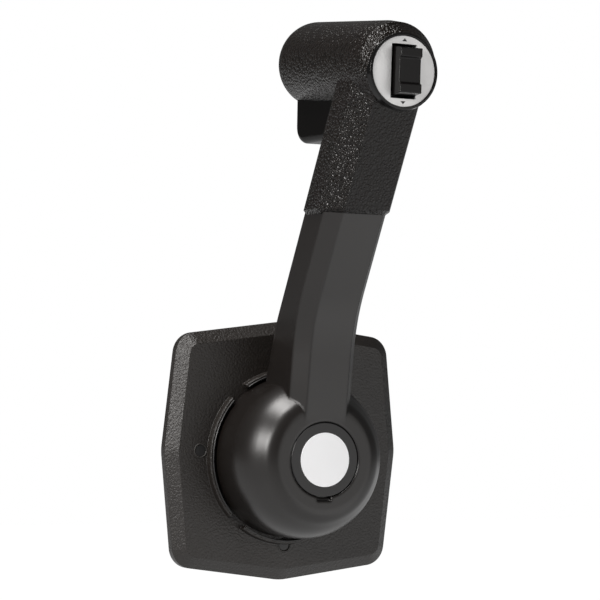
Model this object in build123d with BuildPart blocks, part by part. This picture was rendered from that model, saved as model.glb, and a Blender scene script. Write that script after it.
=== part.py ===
"""Side mounted throttle control lever for a boat.

The origin is where the lever shaft's axis meets the wall that the control is mounted on.
+Z is up, -Y points out of the wall to the user, and +X is to the right as seen by the user.
A depth is a distance in front of the wall, so a negative depth lies behind it. Sizes are in mm.
"""

from build123d import *
import math
import os

os.makedirs("parts", exist_ok=True)

# Driving sizes of the mounting plate
plate_half_width = 75.0
plate_half_height = 75.3
corner_x = 67.8
corner_z = 66.3
corner_radius = 12.5
side_radius = 30.0
plate_edge = 4.7
plate_depth = 10.4
bevel_inset = 6.6
plate_skin = 3.4
plate_rim = 9.0
plate_rise = 3.4
bolt_circle_radius = 54.6
bolt_hole_radius = 2.75
bolt_boss_radius = 7.0
plug_radius = 3.2
plug_sink = 0.4
plug_seat = 3.4
collar_outer = 50.9
collar_height = 4.5
collar_wall = 2.6
collar_edge = 0.9
notch_angle = 49.0
notch_length = 11.0
hub_opening = 36.0

# Driving sizes of the hub
hub_radius = 46.4
hub_draft = 0.4
hub_depth = 59.0
hub_shoulder = 43.2
hub_shoulder_radius = 28.0
hub_face_depth = 56.5
hub_face_radius = 35.0
hub_crest_radius = 10.0
boss_radius = 30.0
boss_edge_fillet = 8.0
hub_wall = 3.2
hub_floor = 40.0
hub_gap = 0.8
cap_radius = 21.3
cap_thickness = 6.0
cap_travel = 4.0
disc_radius = 15.3
disc_thickness = 1.2
button_spring_radius = 13.5
button_spring_wire = 1.0
cap_edge = 0.6

# Driving sizes of the arm, as points of its side view (depth, height)
arm_half_width = 19.5
arm_chamfer = 8.8
arm_front_chamfer = 6.6
arm_lean = 28.5
arm_mouth = 137.0
arm_front_at_mouth = 99.0
arm_back_at_mouth = 66.2
arm_front_bend = 76.0
arm_back_bend = 76.0
arm_back_foot = (13.0, 20.0)
arm_bend_radius = 90.0
arm_top = 186.0

# Driving sizes of the grip
grip_wall = 3.0
grip_back_radius = 8.0
bar_radius = 24.4
bar_tilt = 5.7
bar_wall_end = 27.5
bar_cap_radius = 17.0
bar_axis_height = 226.8
bar_end_taper = 18.0
bar_end_radius = 20.5
bar_taper_radius = 23.6
taper_share = 0.6
taper_lift = 1.9
trim_radius = 19.3
trim_tilt = 1.5
trim_depth = 142.2
trim_height = 212.1
trim_thickness = 1.5
switch_depth = 26.0
switch_radius = 18.6
stem_lip = 2.6
stem_side_growth = 4.5
stem_front_growth = 2.0

# Driving sizes of the trim rocker
rocker_width = 13.0
rocker_height = 27.0
rocker_depth = 8.0
rocker_pad = 6.8
rocker_pad_rise = 8.3
opening_clearance = 1.2
rocker_pin_radius = 1.5
rocker_pin_sink = 4.0

# Driving sizes of the neutral lock
rod_radius = 2.5
rod_inset = 8.6
trigger_half_width = 12.0
trigger_wall_side = 37.4
trigger_bottom = 179.3
trigger_top = 210.0
trigger_edge_radius = 4.0
trigger_corner = 10.0
trigger_travel = 6.0
gate_radius = 37.0
gate_thickness = 4.0
gate_tip_gap = 0.5
gate_notch_depth = 5.0
gate_screw_circle = 25.0
gate_window_circle = 27.0
gate_window_radius = 5.0

# Driving sizes of the gear train
gear_module = 1.5
pressure_angle = 25.0
gear_backlash = 0.16
pinion_teeth = 14
shift_teeth = 28
throttle_teeth = 21
shift_sector_teeth = 8
throttle_sector_teeth = 8
train_angle = 45.0
pinion_width = 10.0
pinion_depth = -18.0
sector_width = 6.0
start_switch_width = 20.0
start_switch_height = 11.0

# Driving sizes of the frames and shafts
frame_margin = 11.1
frame_corner = 8.0
frame_thickness = 4.5
rear_depth = -31.0
rear_thickness = 5.0
rear_window = 18.0
frame_scallop = 8.0
post_inset = 7.0
post_radius = 5.0
shaft_radius = 9.0
pinion_seat_radius = 6.5
rear_journal_radius = 6.0
button_rod_radius = 3.0
bush_wall = 2.5
main_boss_radius = 15.0
sector_shaft_radius = 5.0
sector_boss_radius = 8.6
arm_length = 38.0
arm_thickness = 4.0
arm_plate_depth = -40.0
cable_hole_radius = 2.6
running_clearance = 0.05
fit_gap = 0.3
screw_slack = 0.3
frame_screw_radius = 1.95
frame_screw_head = 3.6
frame_screw_grip = 10.0
gate_screw_radius = 1.55
gate_screw_head = 2.8
gate_screw_grip = 6.0
gate_post_radius = 5.0
tapping_depth = 4.0
window_corner = 4.0
cable_arm_boss = 9.0
cable_arm_tip = 6.0
cable_hole_step = 9.0
shaft_square = 6.4
arm_nut_radius = 7.0
arm_nut_height = 4.0

# Smaller named sizes
stem_top = 216.0
plate_rib = 2.4
rib_reach = plate_half_width - bolt_circle_radius - plate_rim / 2
arm_foot_height = 22.0
rib_count = 6
rib_thickness = 3.0
rib_height = 6.0
cap_gap = 0.3
pry_width = 9.0
pry_height = 3.0
pry_depth = 2.4
rocker_middle_rise = 6.8
tab_half_width = 4.0
tab_bottom = 181.0
tab_top = 185.6
tab_slot_top = 191.8
tab_reach = 3.6
trigger_gap = 0.5
pocket_top = 216.8
spring_pocket_radius = 4.6
spring_length = 18.0
spring_top_depth = 73.0
spring_top = 215.0

# Values worked out from the driving sizes
plug_length = plug_seat - plug_sink - 2 * running_clearance
pinion_pitch_radius = gear_module * pinion_teeth / 2
shift_centre_distance = gear_module * (pinion_teeth + shift_teeth) / 2
throttle_centre_distance = gear_module * (pinion_teeth + throttle_teeth) / 2
shift_x = -shift_centre_distance * math.cos(math.radians(train_angle))
shift_z = -shift_centre_distance * math.sin(math.radians(train_angle))
throttle_x = throttle_centre_distance * math.cos(math.radians(train_angle))
throttle_z = throttle_centre_distance * math.sin(math.radians(train_angle))
frame_front = plate_depth - plate_skin
frame_back = frame_front - frame_thickness
rear_front = rear_depth + rear_thickness
frame_size = 2 * (abs(shift_x) + sector_boss_radius + frame_margin)
post_offset = frame_size / 2 - post_inset
window_offset = post_offset - post_radius - rear_window / 2
boss_front = 27.0
hub_back = boss_front + 3.0
cap_recess = hub_depth - cap_thickness - cap_travel - 3.0
lean_slope = math.tan(math.radians(arm_lean))
lean_cos = math.cos(math.radians(arm_lean))
lean_up = Vector(0, -math.sin(math.radians(arm_lean)), lean_cos)
spring_end = Plane(origin=(0, -spring_top_depth, spring_top), x_dir=(1, 0, 0), z_dir=lean_up)
spring_plane = spring_end.offset(-spring_length)


def layer(depth):
    """Return the plane parallel to the wall at this depth, facing the user."""
    return Plane.XZ.offset(depth)


def arm_back_depth(height):
    """Return the depth of the arm's straight upper back edge at this height."""
    return arm_back_at_mouth + lean_slope * (height - arm_mouth)


def arm_front_depth(height):
    """Return the depth of the arm's straight upper front edge at this height."""
    return arm_front_at_mouth + lean_slope * (height - arm_mouth)


def disc(radius, back, thickness, x=0.0, z=0.0, bore=0.0):
    """Return a round disc or ring whose back face lies at the depth given."""
    with BuildPart() as piece:
        with BuildSketch(layer(back)):
            with Locations((x, z)):
                Circle(radius)
                if bore > 0:
                    Circle(bore, mode=Mode.SUBTRACT)
        extrude(amount=thickness)
    return piece.part


def screws(seat, places, head_radius, head_height, shank_radius, shank_length, forward=False):
    """Return separate socket screws that stand on a plane parallel to the wall."""
    away = 1 if forward else -1
    with BuildPart() as group:
        for x, z in places:
            with BuildSketch(layer(seat)):
                with Locations((x, z)):
                    Circle(head_radius)
            extrude(amount=away * head_height)
            with BuildSketch(layer(seat)):
                with Locations((x, z)):
                    Circle(shank_radius)
            extrude(amount=-away * shank_length)
            with BuildSketch(layer(seat + away * head_height)):
                with Locations((x, z)):
                    RegularPolygon(head_radius * 0.5, 6)
            extrude(amount=-away * head_height * 0.6, mode=Mode.SUBTRACT)
    return group.part


def involute_angle(radius, base_radius):
    """Return the involute function in radians at this radius."""
    pressure = math.acos(min(1.0, base_radius / radius))
    return math.tan(pressure) - pressure


def tooth_face(teeth):
    """Sketch one involute tooth that points along the sketch's x axis."""
    pitch_radius = gear_module * teeth / 2
    base_radius = pitch_radius * math.cos(math.radians(pressure_angle))
    root_radius = pitch_radius - 1.25 * gear_module
    tip_radius = pitch_radius + gear_module
    start_radius = max(base_radius, root_radius)
    half_tooth = math.pi / (2 * teeth) - gear_backlash / (2 * pitch_radius)
    at_pitch = half_tooth + involute_angle(pitch_radius, base_radius)

    def flank(radius, side):
        angle = side * (at_pitch - involute_angle(radius, base_radius))
        return (radius * math.cos(angle), radius * math.sin(angle))

    middle_radius = (start_radius + tip_radius) / 2
    foot_radius = root_radius - 0.3 * gear_module
    foot_angle = at_pitch - involute_angle(start_radius, base_radius)
    foot_x = foot_radius * math.cos(foot_angle)
    foot_z = foot_radius * math.sin(foot_angle)
    with BuildSketch() as tooth:
        with BuildLine():
            ThreePointArc(flank(start_radius, 1), flank(middle_radius, 1), flank(tip_radius, 1))
            ThreePointArc(flank(tip_radius, 1), (tip_radius, 0), flank(tip_radius, -1))
            ThreePointArc(flank(tip_radius, -1), flank(middle_radius, -1), flank(start_radius, -1))
            Polyline(flank(start_radius, -1), (foot_x, -foot_z), (foot_x, foot_z), flank(start_radius, 1))
        make_face()
    return tooth.sketch


def toothed_face(teeth, count, towards):
    """Sketch a gear, or a sector of it, whose teeth lie evenly about one direction."""
    root_radius = gear_module * teeth / 2 - 1.25 * gear_module
    pitch = 360 / teeth
    span = pitch * (count - 1)
    with BuildSketch() as gear:
        Circle(root_radius)
        if count < teeth:
            half = span / 2 + pitch * 0.4
            reach = 3 * root_radius
            fan = [(0, 0)]
            for step in range(5):
                angle = math.radians(towards - half + step * half / 2)
                fan.append((reach * math.cos(angle), reach * math.sin(angle)))
            with BuildLine():
                Polyline(*fan, close=True)
            make_face(mode=Mode.INTERSECT)
        for step in range(count):
            turn = towards + step * pitch if count == teeth else towards - span / 2 + step * pitch
            with Locations(Rotation(0, 0, turn)):
                add(tooth_face(teeth))
    return gear.sketch


# Mounting plate: bevelled octagon with a hollow back, a collar round the hub and ribs behind
plate_outline = [
    (-plate_half_width, plate_rise),
    (-corner_x, plate_rise + corner_z),
    (0, plate_rise + plate_half_height),
    (corner_x, plate_rise + corner_z),
    (plate_half_width, plate_rise),
    (corner_x, plate_rise - corner_z),
    (0, plate_rise - plate_half_height),
    (-corner_x, plate_rise - corner_z),
]
outline_radii = [side_radius, corner_radius] * 4
bolt_places = [
    (bolt_circle_radius * math.cos(math.radians(90 * k)),
     plate_rise + bolt_circle_radius * math.sin(math.radians(90 * k)))
    for k in range(4)
]
with BuildPart() as mounting_plate:
    with BuildSketch(layer(0)):
        with BuildLine():
            FilletPolyline(*plate_outline, radius=outline_radii, close=True)
        make_face()
    extrude(amount=plate_depth)
    plate_front = mounting_plate.faces().sort_by(Axis.Y)[0]
    chamfer(plate_front.edges(), length=bevel_inset, length2=plate_depth - plate_edge, reference=plate_front)
    with BuildSketch(layer(0)):
        with BuildLine():
            FilletPolyline(*plate_outline, radius=outline_radii, close=True)
        make_face()
        offset(amount=-plate_rim, kind=Kind.INTERSECTION, mode=Mode.REPLACE)
    extrude(amount=frame_front, mode=Mode.SUBTRACT)
    with BuildSketch(layer(0)):
        with Locations(*bolt_places):
            Circle(bolt_boss_radius)
        for x, z in bolt_places:
            with Locations(Location((x, z, 0), math.degrees(math.atan2(z - plate_rise, x)))):
                Rectangle(rib_reach, plate_rib, align=(Align.MIN, Align.CENTER))
    extrude(amount=frame_front)
    with BuildSketch(layer(plate_depth - plate_skin / 2)):
        Circle(collar_outer)
    extrude(amount=plate_skin / 2)
    with BuildSketch(Plane.YZ):
        with BuildLine():
            Polyline(
                (-plate_depth + 0.5, collar_outer - collar_wall),
                (-plate_depth + 0.5, collar_outer),
                (-plate_depth - collar_height + collar_edge, collar_outer - collar_edge / 2),
                (-plate_depth - collar_height, collar_outer - collar_edge),
                (-plate_depth - collar_height, collar_outer - collar_wall),
                close=True,
            )
        make_face()
    revolve(axis=Axis.Y)
    with BuildSketch(layer(plate_depth)):
        for side in (notch_angle, 180 - notch_angle, 180 + notch_angle, -notch_angle):
            with Locations(Rotation(0, 0, side)):
                with Locations((collar_outer - collar_wall / 2, 0)):
                    Rectangle(2 * collar_wall, notch_length)
    extrude(amount=collar_height + 1, mode=Mode.SUBTRACT)
    with BuildSketch(layer(0)):
        Circle(hub_opening)
        with Locations(*bolt_places):
            Circle(bolt_hole_radius)
    extrude(amount=plate_depth + 1, mode=Mode.SUBTRACT)
    with BuildSketch(layer(plate_depth)):
        with Locations(*bolt_places):
            Circle(plug_radius + running_clearance)
    extrude(amount=-plug_seat, mode=Mode.SUBTRACT)
mounting_plate.part.label = "mounting_plate"
export_step(mounting_plate.part, "parts/mounting_plate.step")

# Round plugs that close the four fixing holes from the front
with BuildPart() as hole_plugs:
    with BuildSketch(layer(plate_depth - plug_sink - plug_length)):
        with Locations(*bolt_places):
            Circle(plug_radius)
    extrude(amount=plug_length)
hole_plugs.part.label = "hole_plugs"
export_step(hole_plugs.part, "parts/hole_plugs.step")

# Die cast front frame: flange behind the plate, bearing boss, posts and detent housing
frame_centre = (0, plate_rise)
post_places = [
    (sx * post_offset, plate_rise + sz * post_offset) for sx in (-1, 1) for sz in (-1, 1)
]
sector_places = [(shift_x, shift_z), (throttle_x, throttle_z)]
window_places = [(side * window_offset, plate_rise - side * window_offset) for side in (-1, 1)]
gate_screw_places = [
    (gate_screw_circle * math.cos(math.radians(a)), gate_screw_circle * math.sin(math.radians(a)))
    for a in (-30, 90, 210)
]
detent_angle = -45.0
detent_radius = 3.0
detent_wheel_radius = 12.0
detent_wheel_depth = -6.5
detent_wheel_width = 5.0
detent_block_end = 38.0
detent_block_start = detent_wheel_radius + 1.5
detent_centre_depth = detent_wheel_depth + detent_wheel_width / 2
detent_plane = Plane(
    origin=(0, -detent_centre_depth, 0),
    x_dir=(0, -1, 0),
    z_dir=(math.cos(math.radians(detent_angle)), 0, math.sin(math.radians(detent_angle))),
)
gate_depth = 20.6
with BuildPart() as front_frame:
    with BuildSketch(layer(frame_back)):
        with Locations(frame_centre):
            RectangleRounded(frame_size, frame_size, frame_corner)
        with Locations((0, plate_rise + frame_size / 2), (0, plate_rise - frame_size / 2)):
            Circle(frame_scallop, mode=Mode.SUBTRACT)
        with Locations((-frame_size / 2, plate_rise), (frame_size / 2, plate_rise)):
            Circle(frame_scallop, mode=Mode.SUBTRACT)
    extrude(amount=frame_thickness)
    with BuildSketch(layer(frame_back)):
        Circle(main_boss_radius)
    extrude(amount=boss_front - frame_back)
    with BuildSketch(layer(frame_back)):
        with Locations(*sector_places):
            Circle(sector_boss_radius)
    extrude(amount=-6.0)
    with BuildSketch(layer(frame_back)):
        with Locations(*post_places):
            Circle(post_radius)
    extrude(amount=rear_front - frame_back)
    with BuildSketch(layer(frame_back)):
        with Locations(*gate_screw_places):
            Circle(gate_post_radius)
    extrude(amount=gate_depth - frame_back)
    with BuildSketch(detent_plane.offset(detent_block_start)):
        Rectangle(14.0, 12.0)
    extrude(amount=detent_block_end - detent_block_start)
    with BuildSketch(detent_plane.offset(detent_block_start - 1)):
        Circle(detent_radius + running_clearance)
    extrude(amount=detent_block_end - detent_block_start + 2, mode=Mode.SUBTRACT)
    with BuildSketch(layer(boss_front)):
        Circle(shaft_radius + bush_wall)
    extrude(amount=frame_back - boss_front - 1, mode=Mode.SUBTRACT)
    with BuildSketch(layer(frame_back - 6.0)):
        with Locations(*sector_places):
            Circle(sector_shaft_radius + 1.5)
    extrude(amount=9.0, mode=Mode.SUBTRACT)
    with BuildSketch(layer(rear_front)):
        with Locations(*post_places):
            Circle(frame_screw_radius + running_clearance)
    extrude(amount=frame_screw_grip + tapping_depth, mode=Mode.SUBTRACT)
    with BuildSketch(layer(gate_depth)):
        with Locations(*gate_screw_places):
            Circle(gate_screw_radius + running_clearance)
    extrude(amount=-gate_screw_grip - tapping_depth, mode=Mode.SUBTRACT)
front_frame.part.label = "front_frame"
export_step(front_frame.part, "parts/front_frame.step")

# Rear frame: bearing plate with openings between its ribs
with BuildPart() as rear_frame:
    with BuildSketch(layer(rear_depth)):
        with Locations(frame_centre):
            RectangleRounded(frame_size, frame_size, frame_corner)
        with Locations(*window_places):
            RectangleRounded(rear_window, rear_window, window_corner, mode=Mode.SUBTRACT)
        Circle(rear_journal_radius + bush_wall, mode=Mode.SUBTRACT)
        with Locations(*sector_places):
            Circle(sector_shaft_radius + 1.5, mode=Mode.SUBTRACT)
        with Locations(*post_places):
            Circle(frame_screw_radius + screw_slack, mode=Mode.SUBTRACT)
    extrude(amount=rear_thickness)
rear_frame.part.label = "rear_frame"
export_step(rear_frame.part, "parts/rear_frame.step")

frame_screw_length = rear_thickness + frame_screw_grip
frame_screws = screws(
    rear_depth, post_places, frame_screw_head, frame_screw_head * 0.83, frame_screw_radius, frame_screw_length
)
frame_screws.label = "frame_screws"
export_step(frame_screws, "parts/frame_screws.step")

# Flanged bushes that carry the main shaft and the two sector shafts
with BuildPart() as front_bush:
    with BuildSketch(layer(frame_back)):
        Circle(shaft_radius + bush_wall)
        Circle(shaft_radius + running_clearance, mode=Mode.SUBTRACT)
    extrude(amount=boss_front - frame_back)
    with BuildSketch(layer(boss_front)):
        Circle(main_boss_radius - 1)
        Circle(shaft_radius + running_clearance, mode=Mode.SUBTRACT)
    extrude(amount=1.5)
front_bush.part.label = "front_bush"
export_step(front_bush.part, "parts/front_bush.step")

rear_bush = disc(rear_journal_radius + bush_wall, rear_depth, rear_thickness,
                 bore=rear_journal_radius + running_clearance)
rear_bush.label = "rear_bush"
export_step(rear_bush, "parts/rear_bush.step")

with BuildPart() as sector_bushes:
    for depth, length in ((frame_back - 6.0, 9.0), (rear_depth, rear_thickness)):
        with BuildSketch(layer(depth)):
            with Locations(*sector_places):
                Circle(sector_shaft_radius + 1.5)
                Circle(sector_shaft_radius + running_clearance, mode=Mode.SUBTRACT)
        extrude(amount=length)
sector_bushes.part.label = "sector_bushes"
export_step(sector_bushes.part, "parts/sector_bushes.step")

# Neutral lock gate: notched ring in front of the frame, under the hub
with BuildPart() as lock_gate:
    with BuildSketch(layer(gate_depth)):
        Circle(gate_radius)
        Circle(main_boss_radius + 0.2, mode=Mode.SUBTRACT)
        with Locations((0, gate_radius)):
            Rectangle(2 * rod_radius + 1.4, 2 * gate_notch_depth, mode=Mode.SUBTRACT)
        with Locations(*gate_screw_places):
            Circle(gate_screw_radius + screw_slack, mode=Mode.SUBTRACT)
        with PolarLocations(gate_window_circle, 3, start_angle=30):
            Circle(gate_window_radius, mode=Mode.SUBTRACT)
    extrude(amount=gate_thickness)
lock_gate.part.label = "lock_gate"
export_step(lock_gate.part, "parts/lock_gate.step")

gate_seat = gate_depth + gate_thickness
gate_screw_length = gate_thickness + gate_screw_grip
gate_screws = screws(
    gate_seat, gate_screw_places, gate_screw_head, gate_screw_head * 0.65, gate_screw_radius,
    gate_screw_length, forward=True
)
gate_screws.label = "gate_screws"
export_step(gate_screws, "parts/gate_screws.step")

# Detent: notched wheel on the main shaft, with the ball held at the height of the wheel's rim
with BuildPart() as detent_wheel:
    with BuildSketch(layer(detent_wheel_depth)):
        Circle(detent_wheel_radius)
        with PolarLocations(detent_wheel_radius + 1.6, 3, start_angle=detent_angle - 28, angular_range=56,
                            endpoint=True):
            Circle(detent_radius, mode=Mode.SUBTRACT)
        Circle(shaft_radius, mode=Mode.SUBTRACT)
    extrude(amount=detent_wheel_width)
detent_wheel.part.label = "detent_wheel"
export_step(detent_wheel.part, "parts/detent_wheel.step")

ball_reach = detent_wheel_radius + detent_radius + 0.1
with BuildPart() as detent_ball:
    with Locations(detent_plane.offset(ball_reach)):
        Sphere(detent_radius)
detent_ball.part.label = "detent_ball"
export_step(detent_ball.part, "parts/detent_ball.step")

plug_start = detent_block_end - 6.0
with BuildPart() as detent_plug:
    with BuildSketch(detent_plane.offset(plug_start)):
        Circle(detent_radius)
    extrude(amount=6.0)
    with BuildSketch(detent_plane.offset(detent_block_end)):
        RegularPolygon(4.5, 6)
    extrude(amount=2.5)
detent_plug.part.label = "detent_plug"
export_step(detent_plug.part, "parts/detent_plug.step")


def coil(plane, radius, wire, length, turns):
    """Return a helical spring of square wire that stands on a plane."""
    foot = plane.origin + plane.z_dir * wire / 2
    with BuildPart() as spring:
        with BuildLine() as path:
            Helix(pitch=(length - wire) / turns, height=length - wire, radius=radius, center=foot,
                  direction=plane.z_dir)
        with BuildSketch(Plane(path.line @ 0, x_dir=plane.z_dir, z_dir=path.line % 0)):
            Rectangle(wire, wire)
        sweep(path=path.line, is_frenet=True)
    return spring.part


spring_start = ball_reach + detent_radius * 0.75
detent_spring = coil(detent_plane.offset(spring_start), 2.2, 0.8, plug_start - spring_start - 0.1, 3)
detent_spring.label = "detent_spring"
export_step(detent_spring, "parts/detent_spring.step")

# Neutral start switch, beside the detent wheel
switch_plane = Plane(
    origin=(0, -detent_centre_depth, 0),
    x_dir=(0, -1, 0),
    z_dir=(math.cos(math.radians(135)), 0, math.sin(math.radians(135))),
)
with BuildPart() as neutral_switch:
    with BuildSketch(switch_plane.offset(detent_wheel_radius + 4.0)):
        Rectangle(2 * (abs(detent_centre_depth) + frame_back), start_switch_width)
    extrude(amount=start_switch_height)
    with BuildSketch(switch_plane.offset(detent_wheel_radius + 0.4)):
        Circle(1.6)
    extrude(amount=4.0)
    with BuildSketch(switch_plane.offset(detent_wheel_radius + 4.0 + start_switch_height)):
        with GridLocations(0, start_switch_width * 0.3, 1, 3):
            Rectangle(0.8, 3.0)
    extrude(amount=4.0)
neutral_switch.part.label = "neutral_switch"
export_step(neutral_switch.part, "parts/neutral_switch.step")

# Hollow main shaft with a keyed seat for the pinion and a cross slot for the clutch pin
clutch_pin_radius = 1.5
clutch_slot_front = pinion_depth + 3.4
clutch_slot_back = clutch_slot_front - 2 * clutch_pin_radius - cap_travel - 1.0
pinion_front = pinion_depth + pinion_width
with BuildPart() as main_shaft:
    with BuildSketch(layer(pinion_front)):
        Circle(shaft_radius)
    extrude(amount=hub_back - pinion_front)
    with BuildSketch(layer(hub_back)):
        Circle(shaft_radius)
        with Locations((shaft_radius - 1.5, 0)):
            Rectangle(3, 2 * shaft_radius, align=(Align.MIN, Align.CENTER), mode=Mode.SUBTRACT)
    extrude(amount=cap_recess - hub_back)
    with BuildSketch(layer(cap_recess)):
        Circle(shaft_radius - 2.0)
    extrude(amount=2.8)
    with BuildSketch(layer(rear_front)):
        Circle(pinion_seat_radius)
    extrude(amount=pinion_front - rear_front)
    with BuildSketch(layer(rear_depth - 3.0)):
        Circle(rear_journal_radius)
    extrude(amount=rear_front - rear_depth + 3.0)
    with BuildSketch(layer(clutch_slot_back)):
        Rectangle(4 * pinion_seat_radius, 2 * clutch_pin_radius + 0.2)
    extrude(amount=clutch_slot_front - clutch_slot_back, mode=Mode.SUBTRACT)
    with BuildSketch(layer(clutch_slot_back)):
        Circle(button_rod_radius + running_clearance)
    extrude(amount=cap_recess + 4.0 - clutch_slot_back, mode=Mode.SUBTRACT)
main_shaft.part.label = "main_shaft"
export_step(main_shaft.part, "parts/main_shaft.step")

# Drive pinion, with a cross slot in its rear face for the clutch pin
with BuildPart() as drive_pinion:
    with BuildSketch(layer(pinion_depth)):
        add(toothed_face(pinion_teeth, pinion_teeth, train_angle))
        Circle(pinion_seat_radius, mode=Mode.SUBTRACT)
    extrude(amount=pinion_width)
    with BuildSketch(layer(pinion_depth)):
        Rectangle(2 * (pinion_pitch_radius - gear_module * 1.25) - 0.4, 2 * clutch_pin_radius + 0.2)
    extrude(amount=clutch_slot_front - pinion_depth, mode=Mode.SUBTRACT)
drive_pinion.part.label = "drive_pinion"
export_step(drive_pinion.part, "parts/drive_pinion.step")


def sector(teeth, count, x, z, towards):
    """Return a sector gear with its hub, centred on its own shaft."""
    back = pinion_depth + 2.0
    with BuildPart() as gear:
        with BuildSketch(Plane(origin=(x, -back, z), x_dir=(1, 0, 0), z_dir=(0, -1, 0))):
            add(toothed_face(teeth, count, towards))
            Circle(sector_shaft_radius + 3.0)
            Circle(sector_shaft_radius, mode=Mode.SUBTRACT)
        extrude(amount=sector_width)
        with BuildSketch(layer(rear_front + 0.5)):
            with Locations((x, z)):
                Circle(sector_shaft_radius + 2.5)
                Circle(sector_shaft_radius, mode=Mode.SUBTRACT)
        extrude(amount=frame_back - 6.5 - rear_front - 0.5)
    return gear.part


shift_sector = sector(shift_teeth, shift_sector_teeth, shift_x, shift_z, train_angle)
shift_sector.label = "shift_sector"
export_step(shift_sector, "parts/shift_sector.step")

throttle_sector = sector(throttle_teeth, throttle_sector_teeth, throttle_x, throttle_z, train_angle + 180)
throttle_sector.label = "throttle_sector"
export_step(throttle_sector, "parts/throttle_sector.step")


def sector_shaft(x, z):
    """Return a sector shaft whose rear end is flattened to drive its arm."""
    with BuildPart() as shaft:
        with BuildSketch(layer(arm_plate_depth + arm_thickness)):
            with Locations((x, z)):
                Circle(sector_shaft_radius)
        extrude(amount=frame_back - arm_plate_depth - arm_thickness)
        with BuildSketch(layer(arm_plate_depth - arm_nut_height - 0.5)):
            with Locations((x, z)):
                Rectangle(shaft_square, shaft_square)
        extrude(amount=arm_thickness + arm_nut_height + 0.5)
    return shaft.part


shift_shaft = sector_shaft(shift_x, shift_z)
shift_shaft.label = "shift_shaft"
export_step(shift_shaft, "parts/shift_shaft.step")

throttle_shaft = sector_shaft(throttle_x, throttle_z)
throttle_shaft.label = "throttle_shaft"
export_step(throttle_shaft, "parts/throttle_shaft.step")


def cable_arm(x, z, direction):
    """Return a cable arm on its shaft, with three cable holes near its end."""
    with BuildPart() as lever:
        with BuildSketch(Plane(origin=(x, -arm_plate_depth, z), x_dir=(1, 0, 0), z_dir=(0, -1, 0))):
            Circle(cable_arm_boss)
            with Locations((0, direction * arm_length)):
                Circle(cable_arm_tip)
            with BuildLine():
                Polyline(
                    (-cable_arm_boss + 0.4, 0),
                    (cable_arm_boss - 0.4, 0),
                    (cable_arm_tip - 0.2, direction * arm_length),
                    (-cable_arm_tip + 0.2, direction * arm_length),
                    close=True,
                )
            make_face()
            square = shaft_square + 2 * running_clearance
            Rectangle(square, square, mode=Mode.SUBTRACT)
            with Locations((0, direction * arm_length), (0, direction * (arm_length - cable_hole_step))):
                Circle(cable_hole_radius, mode=Mode.SUBTRACT)
        extrude(amount=arm_thickness)
    return lever.part


shift_arm = cable_arm(shift_x, shift_z, -1)
shift_arm.label = "shift_arm"
export_step(shift_arm, "parts/shift_arm.step")

throttle_arm = cable_arm(throttle_x, throttle_z, 1)
throttle_arm.label = "throttle_arm"
export_step(throttle_arm, "parts/throttle_arm.step")


def arm_nut(x, z):
    """Return the nut that holds a cable arm on its shaft."""
    with BuildPart() as nut:
        with BuildSketch(layer(arm_plate_depth - arm_nut_height)):
            with Locations((x, z)):
                RegularPolygon(arm_nut_radius, 6)
                square = shaft_square + 2 * running_clearance
                Rectangle(square, square, mode=Mode.SUBTRACT)
        extrude(amount=arm_nut_height)
    return nut.part


shift_nut = arm_nut(shift_x, shift_z)
shift_nut.label = "shift_nut"
export_step(shift_nut, "parts/shift_nut.step")

throttle_nut = arm_nut(throttle_x, throttle_z)
throttle_nut.label = "throttle_nut"
export_step(throttle_nut, "parts/throttle_nut.step")

# Lever casting: bell shaped hub and bent arm in one piece
hub_outline = [
    (-(plate_depth + hub_gap), 0),
    (-(plate_depth + hub_gap), hub_radius),
    (-hub_shoulder, hub_radius - hub_draft),
    (-hub_face_depth, hub_face_radius),
    (-hub_depth, boss_radius),
    (-hub_depth, 0),
]
hub_radii = [0, 0, hub_shoulder_radius, hub_crest_radius, boss_edge_fillet, 0]
arm_outline = [
    (-arm_back_foot[0], 0),
    (-arm_back_foot[0], arm_back_foot[1]),
    (-arm_back_depth(arm_back_bend), arm_back_bend),
    (-arm_back_depth(arm_top), arm_top),
    (-arm_front_depth(arm_top), arm_top),
    (-arm_front_depth(arm_front_bend), arm_front_bend),
    (-hub_depth, arm_foot_height),
    (-hub_depth, 0),
]
arm_radii = [0, 0, arm_bend_radius, 0, 0, arm_bend_radius, 40.0, 0]
rod_depth_at_mouth = arm_back_at_mouth + rod_inset / lean_cos
rod_tip_height = gate_radius + gate_tip_gap + rod_radius * math.sin(math.radians(arm_lean))


def rod_depth(height):
    """Return the depth of the lock rod's axis at this height."""
    return rod_depth_at_mouth + lean_slope * (height - arm_mouth)


def lean_plane(height):
    """Return the plane square to the lock rod where its axis has this height."""
    return Plane(origin=(0, -rod_depth(height), height), x_dir=(1, 0, 0), z_dir=lean_up)


with BuildPart() as arm_blank:
    with BuildSketch(Plane.YZ):
        with BuildLine():
            FilletPolyline(*arm_outline, radius=arm_radii, close=True)
        make_face()
    extrude(amount=arm_half_width, both=True)
    for side in (0, -1):
        side_face = arm_blank.faces().sort_by(Axis.X)[side]
        front_edges = side_face.edges().filter_by(
            lambda edge: -edge.center().Y > hub_depth - 1.5 + max(0, edge.center().Z - 60) * 0.36
            and 0.1 < edge.center().Z < arm_top - 0.1
        )
        chamfer(front_edges, length=arm_chamfer, length2=arm_front_chamfer, reference=side_face)

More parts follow.
